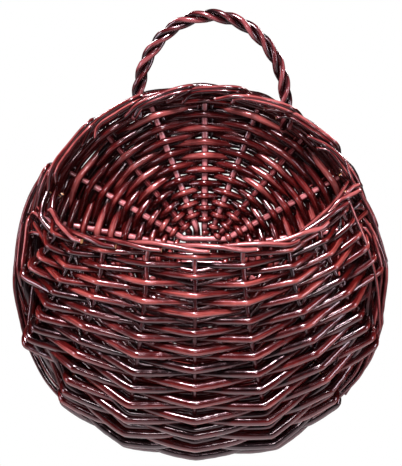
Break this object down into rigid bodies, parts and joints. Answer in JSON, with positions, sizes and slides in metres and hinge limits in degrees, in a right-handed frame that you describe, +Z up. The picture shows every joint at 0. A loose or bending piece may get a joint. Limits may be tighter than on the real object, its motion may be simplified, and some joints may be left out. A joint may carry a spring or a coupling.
{
  "type": "hanging planter",
  "caption": "Wall-hanging wicker planter: a round woven back with a bulging woven pocket, an open looped border and a rope-twist handle that hangs on a hook.",
  "frame": {"origin": "under the top of the handle's arch, where a wall hook or nail carries the planter", "axes": "+Z up, +Y into the wall behind the flat back, -Y out of the front of the pocket, +X to the right as seen from the front"},
  "size_m": [0.29, 0.1133, 0.36],
  "materials": {
    "sticks": "gloss lacquer",
    "back_weavers": "gloss lacquer",
    "stakes": "gloss lacquer",
    "pocket_weavers": "gloss lacquer",
    "handle": "gloss lacquer"
  },
  "bodies": {
    "root": {"back_stick_across_1": "sticks", "back_stick_across_2": "sticks", "back_stick_across_3": "sticks", "back_stick_across_4": "sticks", "back_stick_up_1": "sticks", "back_stick_up_2": "sticks", "back_stick_up_3": "sticks", "back_stick_up_4": "sticks", "back_stick_up_5": "sticks", "back_weaver_a": "back_weavers", "back_weaver_b": "back_weavers", "border_stake_1": "stakes", "border_stake_10": "stakes", "border_stake_11": "stakes", "border_stake_2": "stakes", "border_stake_3": "stakes", "border_stake_4": "stakes", "border_stake_5": "stakes", "border_stake_6": "stakes", "border_stake_7": "stakes", "border_stake_8": "stakes", "border_stake_9": "stakes", "handle_rod_1": "handle", "handle_rod_2": "handle", "handle_rod_3": "handle", "lip_weaver_1": "back_weavers", "lip_weaver_2": "back_weavers", "pocket_stake_centre": "stakes", "pocket_stake_left_1": "stakes", "pocket_stake_left_2": "stakes", "pocket_stake_left_3": "stakes", "pocket_stake_left_4": "stakes", "pocket_stake_left_5": "stakes", "pocket_stake_right_1": "stakes", "pocket_stake_right_2": "stakes", "pocket_stake_right_3": "stakes", "pocket_stake_right_4": "stakes", "pocket_stake_right_5": "stakes", "pocket_weaver_01": "pocket_weavers", "pocket_weaver_02": "pocket_weavers", "pocket_weaver_03": "pocket_weavers", "pocket_weaver_04": "pocket_weavers", "pocket_weaver_05": "pocket_weavers", "pocket_weaver_06": "pocket_weavers", "pocket_weaver_07": "pocket_weavers", "pocket_weaver_08": "pocket_weavers", "pocket_weaver_09": "pocket_weavers", "pocket_weaver_10": "pocket_weavers", "pocket_weaver_11": "pocket_weavers"}
  },
  "joints": []
}
